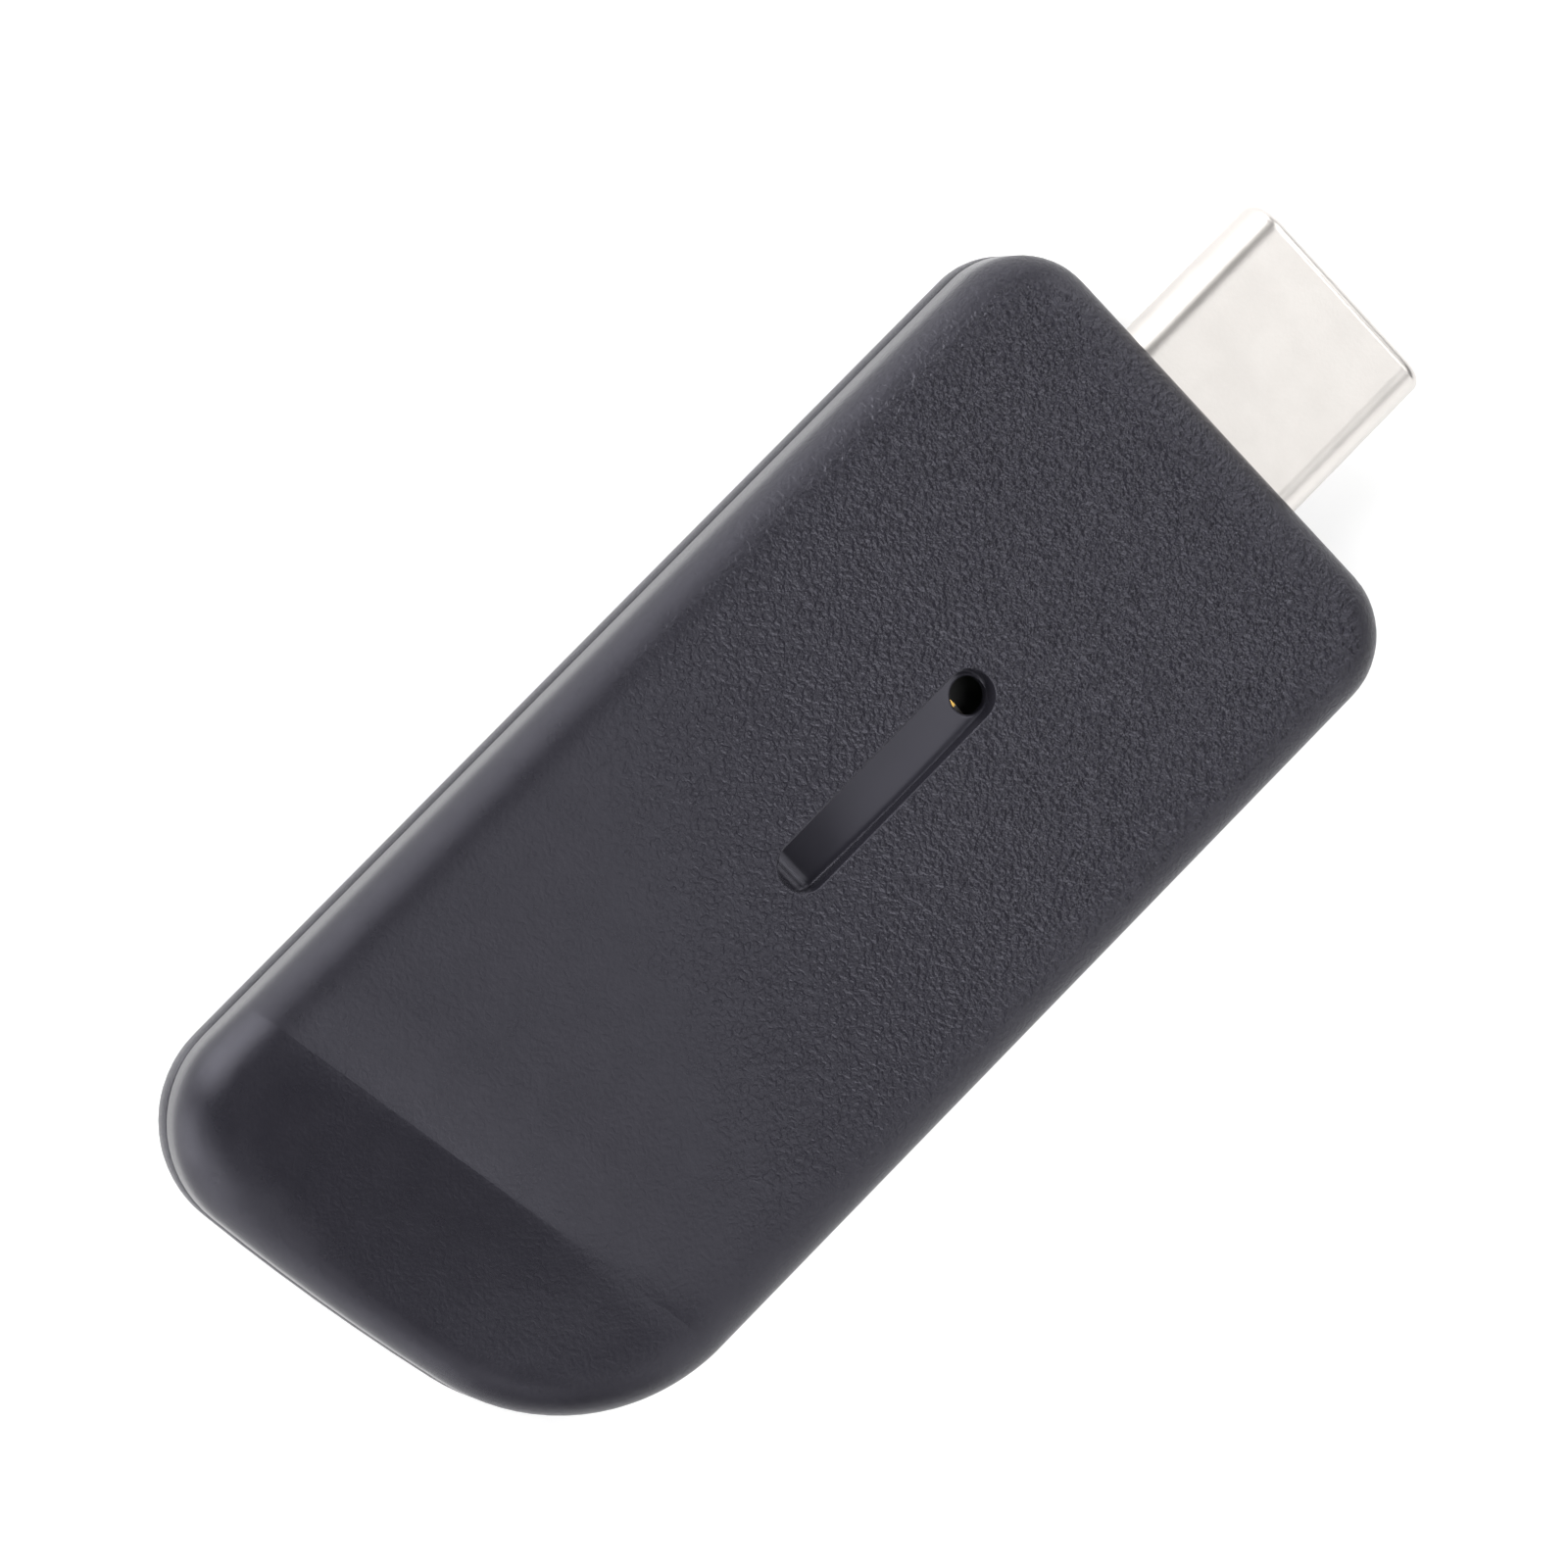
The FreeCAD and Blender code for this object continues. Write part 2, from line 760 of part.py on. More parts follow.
def make_regulator_leads():
    """Gull-wing leads on both long sides of the regulator."""
    x, y = regulator_place()
    leads = []
    for side in (-1, 1):
        for index in range(lead_count):
            place = x + (index - (lead_count - 1) / 2) * lead_pitch
            near = y + side * regulator_width / 2
            far = near + side * lead_reach
            low = Vector(place - lead_width / 2, min(near, far), board_top)
            high = Vector(place + lead_width / 2, max(near, far), board_top + lead_thickness)
            leads.append(box(low, high))
    return group(leads)


def crystal_place():
    return (-groove_front - groove_span - groove_width - crystal_gap, crystal_offset)


def make_crystal():
    x, y = crystal_place()
    return chip(x, y, crystal_length, crystal_width, crystal_height, board_top)


def led_place():
    """The indicator lies across the board, a little behind the hole."""
    x, y = hole_place()
    return (x - led_setback, y + led_sideways)


def make_indicator_led():
    x, y = led_place()
    clear_length = led_length - 2 * led_frame_length
    return plain_block(x, y, led_width, clear_length, led_height, board_top)


def make_led_frame():
    """Gold-plated ends of the indicator's lead frame."""
    x, y = led_place()
    ends = []
    for side in (-1, 1):
        place = y + side * (led_length - led_frame_length) / 2
        ends.append(plain_block(x, place, led_width, led_frame_length, led_height, board_top))
    return group(ends)


def antenna_block(y, length):
    """A slice of the antenna, which lies across the tail end of the board."""
    x = antenna_tail_gap - body_length
    return plain_block(x, y, antenna_width, length, antenna_height, board_top)


def make_chip_antenna():
    return antenna_block(0, antenna_length - 2 * small_end_length)


def make_antenna_ends():
    reach = (antenna_length - small_end_length) / 2
    return group([antenna_block(side * reach, small_end_length) for side in (-1, 1)])


def small_places(side):
    """Places of the small two-ended parts: a row beside the groove's boss, a row nearer the wall."""
    start = -groove_front - small_row_start
    inner_row = groove_width / 2 + groove_boss_wall + small_width + small_row_gap
    outer_row = rear_post_offset + small_row_gap
    places = []
    for row in (inner_row, outer_row):
        places += [(start - small_pitch * index, side * row) for index in range(small_count)]
    return places


def small_bodies(side, height):
    length = small_length - 2 * small_end_length
    bodies = []
    for x, y in small_places(side):
        bodies.append(plain_block(x, y, length, small_width, height, board_top))
    return group(bodies)


def small_ends(side, height):
    reach = (small_length - small_end_length) / 2
    ends = []
    for x, y in small_places(side):
        for turn in (-1, 1):
            place = x + turn * reach
            ends.append(plain_block(place, y, small_end_length, small_width, height, board_top))
    return group(ends)


def make_capacitors():
    return small_bodies(1, capacitor_height)


def make_capacitor_ends():
    return small_ends(1, capacitor_height)


def make_resistors():
    return small_bodies(-1, resistor_height)


def make_resistor_ends():
    return small_ends(-1, resistor_height)


def make_inductors():
    """Two wound inductors beside the crystal, their edges softened."""
    x, y = crystal_place()
    parts = []
    for place in (x, x - inductor_length - small_width):
        parts.append(chip(place, -y, inductor_length, inductor_width, inductor_height, board_top))
    return group(parts)


def make_esd_diodes():
    """Two protection diodes just behind the contact tails."""
    x = board_front - contact_tail_length - diode_length
    parts = []
    for side in (-1, 1):
        parts.append(chip(x, side * diode_length, diode_length, diode_width, diode_height, board_top))
    return group(parts)


def make_test_pads():
    """Gold-plated pads in a line on the board's lower side."""
    x = -shield_setback - shield_size / 2 - test_pad_pitch
    pads = []
    for index in range(test_pad_count):
        y = (index - (test_pad_count - 1) / 2) * test_pad_pitch
        pads.append(plain_block(x, y, test_pad_size, test_pad_size, pad_thickness, board_top))
    return mirrored(group(pads))


NODES = {
    "top_cover": make_top_cover,
    "bottom_cover": make_bottom_cover,
    "plug_shell": make_plug_shell,
    "contact_housing": make_contact_housing,
    "upper_contacts": make_upper_contacts,
    "lower_contacts": make_lower_contacts,
    "latch_frame": make_latch_frame,
    "upper_ground_spring": make_upper_ground_spring,
    "lower_ground_spring": make_lower_ground_spring,
    "circuit_board": make_circuit_board,
    "radio_chip": make_radio_chip,
    "shield_frame": make_shield_frame,
    "shield_lid": make_shield_lid,
    "memory_chip": make_memory_chip,
    "voltage_regulator": make_voltage_regulator,
    "regulator_leads": make_regulator_leads,
    "crystal": make_crystal,
    "indicator_led": make_indicator_led,
    "led_frame": make_led_frame,
    "chip_antenna": make_chip_antenna,
    "antenna_ends": make_antenna_ends,
    "capacitors": make_capacitors,
    "capacitor_ends": make_capacitor_ends,
    "resistors": make_resistors,
    "resistor_ends": make_resistor_ends,
    "inductors": make_inductors,
    "esd_diodes": make_esd_diodes,
    "test_pads": make_test_pads,
}

os.makedirs("parts", exist_ok=True)
for name, make in NODES.items():
    shape = make()
    shape.exportStep("parts/" + name + ".step")
    print(name, len(shape.Solids), "solids", round(shape.Volume, 3), "mm3", shape.isValid())
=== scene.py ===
"""Visual model of a USB-C wireless receiver: finishes, solder joints, studio and camera."""

import logging
import math
from dataclasses import dataclass
from enum import Enum

import bmesh
import bpy
from mathutils import Matrix, Vector


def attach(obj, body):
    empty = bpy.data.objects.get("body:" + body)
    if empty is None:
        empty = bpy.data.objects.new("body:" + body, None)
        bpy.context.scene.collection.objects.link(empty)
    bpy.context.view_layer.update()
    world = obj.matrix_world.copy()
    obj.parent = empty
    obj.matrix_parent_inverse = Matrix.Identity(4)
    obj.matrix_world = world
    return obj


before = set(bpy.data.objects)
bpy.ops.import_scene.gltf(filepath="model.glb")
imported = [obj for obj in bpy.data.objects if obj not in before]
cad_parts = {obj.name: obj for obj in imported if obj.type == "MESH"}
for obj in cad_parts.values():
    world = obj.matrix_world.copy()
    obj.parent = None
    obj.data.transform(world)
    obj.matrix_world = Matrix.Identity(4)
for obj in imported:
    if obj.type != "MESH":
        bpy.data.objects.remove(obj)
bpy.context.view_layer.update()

LOG = logging.getLogger("receiver")
Tree = bpy.types.NodeTree
Socket = bpy.types.NodeSocket

MM = 0.001  # Metres in a millimetre.
BLOTCH_EDGES = (0.35, 0.65)  # Noise at which the first and the second colour are pure.
GLINT_SPECK_EDGES = (0.3, 0.7)  # Noise of the darkest and of the lightest painted spot of glint and shade.
GLOSS_SPREAD = 0.07  # How far the roughness strays, as a share of itself.
GRAIN_DETAIL = 2.0  # Octaves of the grain's noise.
WORM_TURNS = 3.0  # How often the eroded texture folds between its lowest and highest point.
STREAK = (0.06, 1.0, 1.0)  # Stretch of the noise along rolled strip.
WELD = 1e-6  # Metres within which a mesh's loose corners are one.


def linear(hex_colour: str) -> tuple[float, float, float, float]:
    """Turn an sRGB hex colour into a linear RGBA colour.

    Args:
        hex_colour: Six hex digits.

    Returns:
        Linear red, green and blue, and an alpha of one.
    """
    channels = []
    for start in (0, 2, 4):
        value = int(hex_colour[start:start + 2], 16) / 255
        channels.append(value / 12.92 if value <= 0.04045 else ((value + 0.055) / 1.055) ** 2.4)
    return (channels[0], channels[1], channels[2], 1.0)


def add_node(
    tree: Tree,
    kind: str,
    inputs: dict[str | int, object] | None = None,
    **settings: object,
) -> bpy.types.Node:
    """Add a node, set its properties, and set or link its inputs.

    Args:
        tree: The node tree that gets the node.
        kind: The node's type name.
        inputs: Input name or index, with a value or the output socket that feeds it.
        **settings: Properties of the node itself.

    Returns:
        The new node.
    """
    node = tree.nodes.new(kind)
    for name, value in settings.items():
        setattr(node, name, value)
    for name, value in (inputs or {}).items():
        if isinstance(value, Socket):
            tree.links.new(value, node.inputs[name])
        else:
            node.inputs[name].default_value = value
    return node


def calculate(tree: Tree, operation: str, *values: object) -> Socket:
    """Add one step of arithmetic.

    Args:
        tree: The material's node tree.
        operation: The Math node's name for it.
        *values: The numbers or outputs that it works on.

    Returns:
        The result.
    """
    inputs = dict(enumerate(values))
    return add_node(tree, "ShaderNodeMath", inputs, operation=operation).outputs["Value"]


def noise(tree: Tree, where: Socket, size: float, **inputs: float) -> Socket:
    """Add a noise.

    Args:
        tree: The material's node tree.
        where: Place in millimetres.
        size: Size of its coarsest cells in millimetres.
        **inputs: More of its inputs.

    Returns:
        An output from 0 to 1.
    """
    given = {"Vector": where, "Scale": 1 / size, **inputs}
    return add_node(tree, "ShaderNodeTexNoise", given).outputs["Fac"]


def part_of(tree: Tree, vector: Socket, axis: str) -> Socket:
    """Take one part of a vector.

    Args:
        tree: The material's node tree.
        vector: The vector's output.
        axis: X, Y or Z.

    Returns:
        The part.
    """
    return add_node(tree, "ShaderNodeSeparateXYZ", {"Vector": vector}).outputs[axis]


class Course(Enum):
    """How a value runs from one end of its range to the other."""

    STRAIGHT = "LINEAR"
    EASED = "SMOOTHSTEP"


def remap(
    tree: Tree,
    value: Socket,
    before: tuple[float, float] = (0.0, 1.0),
    after: tuple[float, float] = (0.0, 1.0),
    course: Course = Course.STRAIGHT,
) -> Socket:
    """Carry a value from one range to another, and hold it at the ends.

    Args:
        tree: The material's node tree.
        value: The value.
        before: The range that it comes from.
        after: The range that it goes to.
        course: How it runs between the ends.

    Returns:
        The new value.
    """
    return add_node(
        tree,
        "ShaderNodeMapRange",
        {
            "Value": value,
            "From Min": before[0],
            "From Max": before[1],
            "To Min": after[0],
            "To Max": after[1],
        },
        interpolation_type=course.value,
    ).outputs["Result"]


class Grain(Enum):
    """How the fine relief of a surface was made."""

    SPARK_ERODED = "worm-like texture of a spark-eroded mould"
    TUMBLED = "even satin of small parts tumbled before plating"
    ROLLED = "long streaks of rolled strip"
    MOULDED = "faint ripple of a plain mould"


@dataclass(frozen=True)
class Finish:
    """A material of the real part: colours, gloss and relief, with sizes in millimetres."""

    name: str
    base: str
    second: str
    metallic: float = 0.0
    gloss_tint: str = "ffffff"
    roughness: float = 0.5
    grain: Grain = Grain.MOULDED
    grain_size: float = 0.1
    relief: float = 0.002
    blotch_size: float = 2.0

    def build(self) -> bpy.types.Material:
        """Make the node material.

        Returns:
            The material, ready to be given to a piece.
        """
        material = bpy.data.materials.new(self.name)
        material.use_nodes = True
        tree = material.node_tree
        tree.nodes.clear()
        place = add_node(tree, "ShaderNodeTexCoord").outputs["Object"]
        where = add_node(
            tree, "ShaderNodeVectorMath", {0: place, "Scale": 1 / MM}, operation="SCALE"
        ).outputs["Vector"]
        shader = add_node(
            tree,
            "ShaderNodeBsdfPrincipled",
            {
                "Base Color": self.colour(tree, where),
                "Metallic": self.metallic,
                "Specular Tint": linear(self.gloss_tint),
                "Roughness": self.gloss(tree, where),
                "Normal": self.surface(tree, where),
            },
        )
        self.add_glow(shader)
        add_node(tree, "ShaderNodeOutputMaterial", {"Surface": shader.outputs["BSDF"]})
        return material

    def blotches(self, tree: Tree, where: Socket) -> Socket:
        """Slow unevenness of the surface.

        Args:
            tree: The material's node tree.
            where: Place in millimetres.

        Returns:
            An output from 0 to 1.
        """
        return noise(tree, where, self.blotch_size, Detail=3.0, Roughness=0.55)

    def colour(self, tree: Tree, where: Socket) -> Socket:
        """Mix the two colours in soft blotches.

        Args:
            tree: The material's node tree.
            where: Place in millimetres.

        Returns:
            The colour output.
        """
        ramp = add_node(tree, "ShaderNodeValToRGB", {"Fac": self.blotches(tree, where)})
        for stop, edge, shade in zip(
            ramp.color_ramp.elements, BLOTCH_EDGES, (self.base, self.second)
        ):
            stop.position = edge
            stop.color = linear(shade)
        return ramp.outputs["Color"]

    def gloss(self, tree: Tree, where: Socket) -> Socket:
        """Vary the roughness a little with the blotches.

        Args:
            tree: The material's node tree.
            where: Place in millimetres.

        Returns:
            The roughness output.
        """
        ends = (self.roughness * (1 - GLOSS_SPREAD), self.roughness * (1 + GLOSS_SPREAD))
        return remap(tree, self.blotches(tree, where), after=ends)

    def height(self, tree: Tree, where: Socket) -> Socket:
        """Height of the fine grain.

        Args:
            tree: The material's node tree.
            where: Place in millimetres.

        Returns:
            An output from 0 to 1.
        """
        if self.grain is Grain.ROLLED:
            where = add_node(
                tree, "ShaderNodeVectorMath", {0: where, 1: STREAK}, operation="MULTIPLY"
            ).outputs["Vector"]
        ripple = noise(tree, where, self.grain_size, Detail=GRAIN_DETAIL)
        if self.grain is not Grain.SPARK_ERODED:
            return ripple
        folded = calculate(
            tree, "PINGPONG", calculate(tree, "MULTIPLY", ripple, WORM_TURNS), 0.5
        )
        return calculate(tree, "MULTIPLY", folded, 2.0)

    def surface(self, tree: Tree, where: Socket) -> Socket:
        """Turn the grain's height into surface normals.

        Args:
            tree: The material's node tree.
            where: Place in millimetres.

        Returns:
            The normal output.
        """
        relief = {"Height": self.height(tree, where), "Distance": self.relief * MM}
        return add_node(tree, "ShaderNodeBump", relief).outputs["Normal"]

    def add_glow(self, shader: bpy.types.Node) -> None:
        """Leave the surface unlit from inside, as almost all finishes are.

        Args:
            shader: The surface's shader.
        """


@dataclass(frozen=True)
class MouldedCover(Finish):
    """Grained cover with a polished pocket, softened edges and a swell before the crease.

    The part's length runs along X and its plug points to +X. A slope is in degrees, and a
    facing is the cosine of a face's tilt.
    """

    pocket_front: float = -12.27
    pocket_back: float = -20.07
    pocket_sideways: float = -0.12
    pocket_radius: float = 0.88
    pocket_edge: float = 0.02
    # The pocket's colour is painted lighter than the cover's: a painted sheen for the polished
    # pocket's reflections.
    pocket_sheen_colour: str = "2a2930"
    pocket_roughness: float = 0.22
    # Painted glints and shade: size and strength of the light and dark spots painted into the
    # colour.
    glint_speck_size: float = 0.18
    glint_speck_contrast: float = 0.3
    edge_crisp: float = 0.15
    edge_soft: float = 2.0
    edge_samples: int = 6
    soft_from: float = 2.0
    soft_to: float = 7.0
    wear_front: float = -9.0
    wear_back: float = -27.0
    wear_left: float = 0.1
    wear_slant: float = -0.5
    rim_facing: float = 0.98
    top_facing: float = 0.998
    rim_grain: float = 0.5
    crease_place: float = -34.5
    crease_slant: float = 9.7
    swell_length: float = 3.0
    swell_slope: float = 5.0
    swell_side: float = -9.0
    fade_slope: float = 4.0
    fade_side: float = -8.0
    full_side: float = 1.0

    def away(self, tree: Tree, where: Socket, back: float) -> Socket:
        """Distance in plan from a line along the cover's middle.

        Args:
            tree: The material's node tree.
            where: Place in millimetres.
            back: Rear end of the line, whose front end is the pocket's.

        Returns:
            The distance in millimetres.
        """
        along = part_of(tree, where, "X")
        nearest = add_node(
            tree, "ShaderNodeClamp", {"Value": along, "Min": back, "Max": self.pocket_front}
        ).outputs["Result"]
        middle = add_node(
            tree, "ShaderNodeCombineXYZ", {"X": nearest, "Y": self.pocket_sideways}
        ).outputs["Vector"]
        plan = add_node(
            tree, "ShaderNodeVectorMath", {0: where, 1: (1.0, 1.0, 0.0)}, operation="MULTIPLY"
        ).outputs["Vector"]
        return add_node(
            tree, "ShaderNodeVectorMath", {0: plan, 1: middle}, operation="DISTANCE"
        ).outputs["Value"]

    def grained(self, tree: Tree, where: Socket) -> Socket:
        """Share of the mould's grain: none in the polished pocket, all of it elsewhere.

        Args:
            tree: The material's node tree.
            where: Place in millimetres.

        Returns:
            An output that is 0 in the pocket and 1 outside it.
        """
        edges = (self.pocket_radius - self.pocket_edge, self.pocket_radius + self.pocket_edge)
        return remap(tree, self.away(tree, where, self.pocket_back), edges)

    def worn(self, tree: Tree, where: Socket) -> Socket:
        """Share of the grain that is left: all in front, less near the scoop and on the rim.

        Args:
            tree: The material's node tree.
            where: Place in millimetres.

        Returns:
            The share.
        """
        along = add_node(
            tree,
            "ShaderNodeVectorMath",
            {0: where, 1: (1.0, self.wear_slant, 0.0)},
            operation="DOT_PRODUCT",
        ).outputs["Value"]
        rubbed = remap(
            tree, along, (self.wear_back, self.wear_front), (self.wear_left, 1.0)
        )
        facing = part_of(tree, add_node(tree, "ShaderNodeTexCoord").outputs["Normal"], "Z")
        level = remap(tree, facing, (self.rim_facing, self.top_facing), (self.rim_grain, 1.0))
        return calculate(tree, "MULTIPLY", rubbed, level)

    def colour(self, tree: Tree, where: Socket) -> Socket:
        """Paint light and dark spots for the glints and shade on the grain, and paint the pocket
        lighter for its reflections.

        Args:
            tree: The material's node tree.
            where: Place in millimetres.

        Returns:
            The colour output.
        """
        # Painted glints and shade: the grain's light strokes and dark hollows painted into the
        # colour as spots, weaker where less grain is left.
        painted_glints = noise(tree, where, self.glint_speck_size, Detail=GRAIN_DETAIL)
        change = remap(tree, painted_glints, GLINT_SPECK_EDGES, (-self.glint_speck_contrast, self.glint_speck_contrast))
        brightness = calculate(tree, "MULTIPLY_ADD", change, self.worn(tree, where), 1.0)
        rubbed = add_node(
            tree,
            "ShaderNodeVectorMath",
            {0: super().colour(tree, where), "Scale": brightness},
            operation="SCALE",
        ).outputs["Vector"]
        # Pocket: the lighter colour, a painted sheen; elsewhere: the colour with painted glints
        # and shade.
        # A colour Mix node has its factor at 0, its colours at 6 and 7 and its result at 2.
        mix = {0: self.grained(tree, where), 6: linear(self.pocket_sheen_colour), 7: rubbed}
        return add_node(tree, "ShaderNodeMix", mix, data_type="RGBA").outputs[2]

    def gloss(self, tree: Tree, where: Socket) -> Socket:
        """Make the pocket glossier than the grained faces.

        Args:
            tree: The material's node tree.
            where: Place in millimetres.

        Returns:
            The roughness output.
        """
        ends = (self.pocket_roughness, self.roughness)
        return remap(tree, self.grained(tree, where), after=ends)

    def form(self, tree: Tree, where: Socket) -> Socket:
        """Shallow swell in front of the crease, and the scoop's fading to the short side.

        Args:
            tree: The material's node tree.
            where: Place in millimetres.

        Returns:
            Height in millimetres.
        """
        slant = math.radians(self.crease_slant)
        backwards = (-math.cos(slant), -math.sin(slant), 0.0)
        level = add_node(
            tree, "ShaderNodeVectorMath", {0: where, 1: backwards}, operation="DOT_PRODUCT"
        ).outputs["Value"]
        behind = calculate(tree, "ADD", level, math.cos(slant) * self.crease_place)
        side = part_of(tree, where, "Y")
        rise = remap(tree, behind, (-self.swell_length, 0.0))
        top = self.swell_length * math.tan(math.radians(self.swell_slope)) / 2
        strength = remap(
            tree, side, (self.swell_side, self.full_side), (0.0, top), Course.EASED
        )
        swell = calculate(tree, "MULTIPLY", calculate(tree, "POWER", rise, 2.0), strength)
        lift = math.tan(math.radians(self.fade_slope))
        fade = remap(tree, side, (self.fade_side, self.full_side), (lift, 0.0), Course.EASED)
        past = calculate(tree, "MAXIMUM", behind, 0.0)
        return calculate(tree, "MULTIPLY_ADD", past, fade, swell)

    def surface(self, tree: Tree, where: Socket) -> Socket:
        """Soften the edges, then add the shallow form, then the grain outside the pocket.

        Args:
            tree: The material's node tree.
            where: Place in millimetres.

        Returns:
            The normal output.
        """
        softness = remap(
            tree,
            self.away(tree, where, self.crease_place),
            (self.soft_from, self.soft_to),
            (self.edge_crisp * MM, self.edge_soft * MM),
        )
        soft = add_node(
            tree, "ShaderNodeBevel", {"Radius": softness}, samples=self.edge_samples
        ).outputs["Normal"]
        shaped = add_node(
            tree,
            "ShaderNodeBump",
            {"Height": self.form(tree, where), "Distance": MM, "Normal": soft},
        ).outputs["Normal"]
        share = calculate(
            tree, "MULTIPLY", self.grained(tree, where), self.worn(tree, where)
        )
        height = calculate(tree, "MULTIPLY", self.height(tree, where), share)
        relief = {"Height": height, "Distance": self.relief * MM, "Normal": shaped}
        return add_node(tree, "ShaderNodeBump", relief).outputs["Normal"]


@dataclass(frozen=True)
class GlowingSheet(Finish):
    """Translucent sheet that is lit from behind."""

    glow: float = 0.45

    def add_glow(self, shader: bpy.types.Node) -> None:
        """Let the light from below through.

        Args:
            shader: The surface's shader.
        """
        shader.inputs["Emission Color"].default_value = (1.0, 1.0, 1.0, 1.0)
        shader.inputs["Emission Strength"].default_value = self.glow


# Dark bluish-grey ABS, moulded in a spark-eroded tool: a fine dull sparkle, partly painted into
# the colour as light and dark spots, worn smooth towards the scoop, and glossy only in the
# pocket, whose lighter colour is a painted sheen for its reflections.
COVER_ABS = MouldedCover(
    "abs_moulded_spark_eroded",
    base="1c1b21",
    second="1f1e24",
    gloss_tint="f1f0ff",
    roughness=0.27,
    grain=Grain.SPARK_ERODED,
    grain_size=0.32,
    relief=0.027,
    blotch_size=1.2,
)
# Nickel over drawn steel, tumbled before plating: a warm white satin without a direction.
SHELL_NICKEL = Finish(
    "nickel_plated_steel_tumbled",
    base="cfcbc7",
    second="d4d0cc",
    metallic=1.0,
    roughness=0.34,
    grain=Grain.TUMBLED,
    grain_size=0.12,
    relief=0.002,
    blotch_size=1.5,
)
# Glass-filled LCP, moulded: almost black and slightly dull.
INSULATOR_LCP = Finish(
    "lcp_moulded", base="17171a", second="1f1f22", roughness=0.45, grain_size=0.15
)
# Gold over phosphor bronze, stamped from strip: warm and glossy, with streaks along the strip.
CONTACT_GOLD = Finish(
    "gold_plated_bronze_stamped",
    base="d9ad54",
    second="e6c070",
    metallic=1.0,
    roughness=0.25,
    grain=Grain.ROLLED,
    grain_size=0.05,
    relief=0.001,
)
# Stainless spring strip, stamped: cool grey with rolling streaks.
SPRING_STEEL = Finish(
    "stainless_strip_stamped",
    base="b9b8b5",
    second="c6c5c2",
    metallic=1.0,
    roughness=0.3,
    grain=Grain.ROLLED,
    grain_size=0.05,
    relief=0.001,
)
# Dark olive solder mask, screen printed: smooth, with a faint ripple over the copper.
BOARD_MASK = Finish(
    "solder_mask_printed", base="0c0f09", second="11150c", roughness=0.4, grain_size=0.3
)
# Epoxy moulding compound: charcoal and matt.
CHIP_EPOXY = Finish(
    "epoxy_moulded", base="1a1a1b", second="232324", roughness=0.55, grain_size=0.05
)
# Tin plate, pressed: pale grey with rolling streaks.
TIN_PLATE = Finish(
    "tin_plate_pressed",
    base="c4c3bf",
    second="d0cfcb",
    metallic=1.0,
    roughness=0.35,
    grain=Grain.ROLLED,
    grain_size=0.08,
    relief=0.002,
)
# Tin-silver solder, reflowed: bright, as if wet, with a slow ripple where it set.
SOLDER = Finish(
    "tin_solder_reflowed",
    base="c6c6c9",
    second="d5d5d8",
    metallic=1.0,
    roughness=0.2,
    grain_size=0.12,
    relief=0.003,
    blotch_size=0.4,
)
# Barium titanate ceramic, fired: tan and matt.
FIRED_CERAMIC = Finish(
    "ceramic_fired", base="8f7352", second="9c8060", roughness=0.6, grain_size=0.05
)
# Smoked casting epoxy: dark amber and glossy.
LED_EPOXY = Finish("epoxy_cast", base="2a2014", second="33281a", roughness=0.2, grain_size=0.2)
# Opal acrylic sheet, lit from below: white, soft and almost free of shadows.
TABLE_ACRYLIC = GlowingSheet(
    "opal_acrylic_cast",
    base="dcdcdc",
    second="d8d8d8",
    roughness=0.6,
    grain_size=1.0,
    blotch_size=60.0,
)


def smooth_by_angle(piece: bpy.types.Object, limit: float) -> None:
    """Shade a piece smooth below an edge angle, with its flat faces kept flat, by modifiers.

    Args:
        piece: The piece, whose own mesh of loose triangles stays as it is.
        limit: Largest angle in degrees that is still shaded smooth.
    """
    tree = bpy.data.node_groups.new("smooth_" + piece.name, "GeometryNodeTree")
    tree.interface.new_socket("Geometry", in_out="INPUT", socket_type="NodeSocketGeometry")
    tree.interface.new_socket("Geometry", in_out="OUTPUT", socket_type="NodeSocketGeometry")
    start = add_node(tree, "NodeGroupInput").outputs["Geometry"]
    merged = add_node(
        tree, "GeometryNodeMergeByDistance", {"Geometry": start, "Distance": WELD}
    ).outputs["Geometry"]
    soft = add_node(
        tree, "GeometryNodeSetShadeSmooth", {"Geometry": merged, "Shade Smooth": True}
    )
    angle = add_node(tree, "GeometryNodeInputMeshEdgeAngle").outputs["Unsigned Angle"]
    sharp = add_node(
        tree,
        "FunctionNodeCompare",
        {0: angle, 1: math.radians(limit)},
        data_type="FLOAT",
        operation="GREATER_THAN",
    )
    hard = add_node(
        tree,
        "GeometryNodeSetShadeSmooth",
        {
            "Geometry": soft.outputs["Geometry"],
            "Selection": sharp.outputs["Result"],
            "Shade Smooth": False,
        },
        domain="EDGE",
    )
    add_node(tree, "NodeGroupOutput", {"Geometry": hard.outputs["Geometry"]})
    piece.modifiers.new("smooth_by_angle", "NODES").node_group = tree
    weighted = piece.modifiers.new("flat_faces_stay_flat", "WEIGHTED_NORMAL")
    weighted.keep_sharp = True
    weighted.weight = 100  # The largest face alone sets the normals at its corners.


def dress(names: tuple[str, ...], finish: Finish, limit: float = 28.0) -> None:
    """Give CAD nodes a finish and smooth shading.

    Args:
        names: The nodes' names.
        finish: Their finish.
        limit: Largest edge angle in degrees that is shaded smooth.
    """
    material = finish.build()
    for name in names:
        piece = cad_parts[name]
        for slot in piece.material_slots:
            slot.material = material
        smooth_by_angle(piece, limit)
        LOG.info("%s: %s", name, finish.name)


@dataclass
class Housing:
    """The two moulded covers."""

    covers: tuple[str, ...] = ("top_cover", "bottom_cover")

    def build(self) -> None:
        """Dress both covers."""
        dress(self.covers, COVER_ABS)


